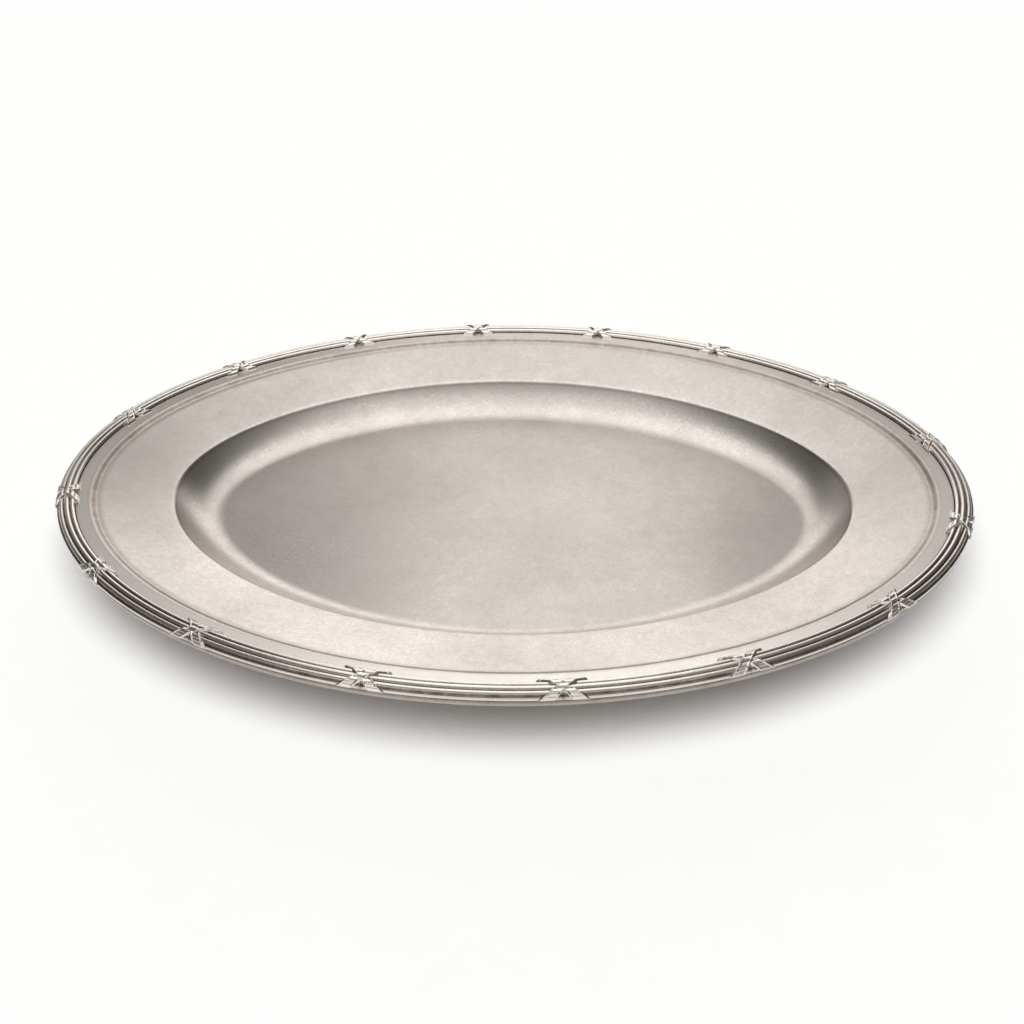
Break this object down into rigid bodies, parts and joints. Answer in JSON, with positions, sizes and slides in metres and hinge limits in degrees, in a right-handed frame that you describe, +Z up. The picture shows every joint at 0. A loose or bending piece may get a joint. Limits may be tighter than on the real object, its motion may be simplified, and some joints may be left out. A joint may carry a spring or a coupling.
{
  "type": "oval serving plate",
  "caption": "Oval metal serving plate with a sunk well, a broad sloping flange, and a raised reed border bound by crossed ribbon ties.",
  "frame": {"origin": "on the table, under the middle of the floor", "axes": "+X along the oval, +Y across it, +Z up"},
  "size_m": [0.408, 0.3064, 0.0283],
  "materials": {
    "plated_sheet": "satin, aged silver plate, finely scratched, faint cloudy tarnish",
    "border_moulding": "satin silver plate, bright along the reeds, brown tarnish in the grooves",
    "ribbon": "satin silver plate, bright worn edges, brown tarnish round the outline"
  },
  "bodies": {
    "root": {"plate_body": "plated_sheet", "reed_section_01": "border_moulding", "ribbon_tie_01": "ribbon", "reed_section_02": "border_moulding", "ribbon_tie_02": "ribbon", "reed_section_03": "border_moulding", "ribbon_tie_03": "ribbon", "reed_section_04": "border_moulding", "ribbon_tie_04": "ribbon", "reed_section_05": "border_moulding", "ribbon_tie_05": "ribbon", "reed_section_06": "border_moulding", "ribbon_tie_06": "ribbon", "reed_section_07": "border_moulding", "ribbon_tie_07": "ribbon", "reed_section_08": "border_moulding", "ribbon_tie_08": "ribbon", "reed_section_09": "border_moulding", "ribbon_tie_09": "ribbon", "reed_section_10": "border_moulding", "ribbon_tie_10": "ribbon", "reed_section_11": "border_moulding", "ribbon_tie_11": "ribbon", "reed_section_12": "border_moulding", "ribbon_tie_12": "ribbon", "reed_section_13": "border_moulding", "ribbon_tie_13": "ribbon", "reed_section_14": "border_moulding", "ribbon_tie_14": "ribbon", "reed_section_15": "border_moulding", "ribbon_tie_15": "ribbon", "reed_section_16": "border_moulding", "ribbon_tie_16": "ribbon"}
  },
  "joints": []
}
